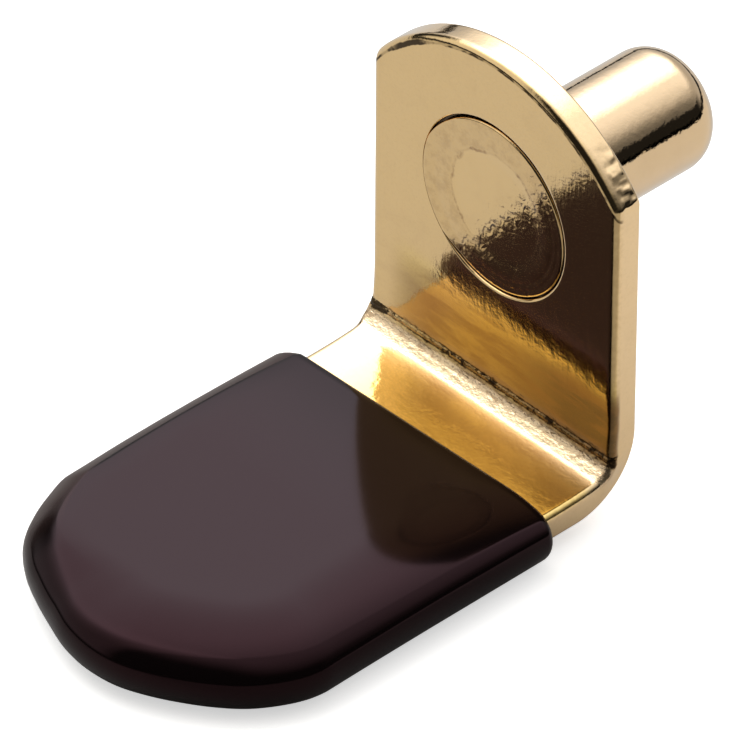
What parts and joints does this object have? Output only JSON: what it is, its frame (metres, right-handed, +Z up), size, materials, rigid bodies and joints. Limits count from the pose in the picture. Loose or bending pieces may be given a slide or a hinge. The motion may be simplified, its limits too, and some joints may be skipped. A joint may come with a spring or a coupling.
{
  "type": "shelf support pin",
  "caption": "L-shaped shelf support: a bent brass-plated plate with a headed pin for a 5 mm hole and a dark vinyl sleeve on the arm that carries the shelf.",
  "frame": {"origin": "on the pin's axis, at the back face of the upright plate, which lies against the cabinet side", "axes": "+Y along the pin, into the cabinet side; +Z up; +X across the plate, whose two halves are mirror images; the arm runs towards -Y"},
  "size_m": [0.0146, 0.0302, 0.0176],
  "materials": {
    "plated_strip": "bright brass plating on steel, slightly wavy",
    "plated_pin": "bright brass plating on steel",
    "vinyl": "glossy dark brown dipped vinyl"
  },
  "bodies": {
    "root": {"bracket": "plated_strip", "pin": "plated_pin", "vinyl_sleeve": "vinyl"}
  },
  "joints": []
}
